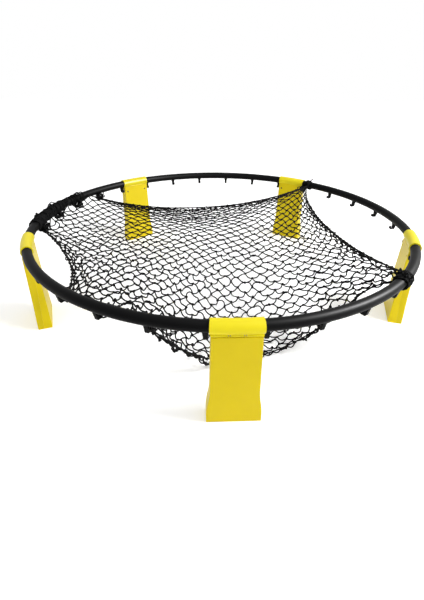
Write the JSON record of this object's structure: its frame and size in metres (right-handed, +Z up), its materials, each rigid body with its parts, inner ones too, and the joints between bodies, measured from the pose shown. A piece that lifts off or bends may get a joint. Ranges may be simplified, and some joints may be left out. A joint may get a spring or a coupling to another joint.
{
  "type": "roundnet set",
  "caption": "Lawn game ring on fold-out legs: hooked tube sections plug together inside collars and hold a slack knotted net.",
  "frame": {"origin": "on the floor, under the centre of the ring", "axes": "+Z up along the ring's axis, -Y towards the front leg, +X to the right of someone who faces that leg"},
  "size_m": [0.9144, 0.917, 0.2028],
  "materials": {
    "rim_black": "satin black moulded plastic",
    "sleeve_yellow": "semi-gloss yellow moulded plastic",
    "leg_yellow": "semi-gloss yellow moulded plastic",
    "pin_steel": "plain steel rod",
    "screw_steel": "dark blackened steel",
    "net_cord": "black knotted nylon cord"
  },
  "bodies": {
    "frame": {"rim_section_1": "rim_black", "collar_1": "sleeve_yellow", "hinge_pin_1": "pin_steel", "rim_section_2": "rim_black", "collar_2": "sleeve_yellow", "hinge_pin_2": "pin_steel", "rim_section_3": "rim_black", "collar_3": "sleeve_yellow", "hinge_pin_3": "pin_steel", "rim_section_4": "rim_black", "collar_4": "sleeve_yellow", "hinge_pin_4": "pin_steel", "rim_section_5": "rim_black", "collar_5": "sleeve_yellow", "hinge_pin_5": "pin_steel", "net": "net_cord"},
    "leg_1": {"leg_shell_1": "leg_yellow", "leg_cover_1": "leg_yellow", "leg_screws_1": "screw_steel"},
    "leg_2": {"leg_shell_2": "leg_yellow", "leg_cover_2": "leg_yellow", "leg_screws_2": "screw_steel"},
    "leg_3": {"leg_shell_3": "leg_yellow", "leg_cover_3": "leg_yellow", "leg_screws_3": "screw_steel"},
    "leg_4": {"leg_shell_4": "leg_yellow", "leg_cover_4": "leg_yellow", "leg_screws_4": "screw_steel"},
    "leg_5": {"leg_shell_5": "leg_yellow", "leg_cover_5": "leg_yellow", "leg_screws_5": "screw_steel"}
  },
  "joints": [
    {"name": "leg_fold_1", "type": "hinge", "parent": "frame", "child": "leg_1", "pos_m": [0, -0.4543, 0.17876], "axis": [-1, 0, 0], "range_deg": [0, 90]},
    {"name": "leg_fold_2", "type": "hinge", "parent": "frame", "child": "leg_2", "pos_m": [0.43206, -0.14039, 0.17876], "axis": [-0.309, -0.9511, 0], "range_deg": [0, 90]},
    {"name": "leg_fold_3", "type": "hinge", "parent": "frame", "child": "leg_3", "pos_m": [0.26703, 0.36754, 0.17876], "axis": [0.809, -0.5878, 0], "range_deg": [0, 90]},
    {"name": "leg_fold_4", "type": "hinge", "parent": "frame", "child": "leg_4", "pos_m": [-0.26703, 0.36754, 0.17876], "axis": [0.809, 0.5878, 0], "range_deg": [0, 90]},
    {"name": "leg_fold_5", "type": "hinge", "parent": "frame", "child": "leg_5", "pos_m": [-0.43206, -0.14039, 0.17876], "axis": [-0.309, 0.9511, 0], "range_deg": [0, 90]}
  ]
}
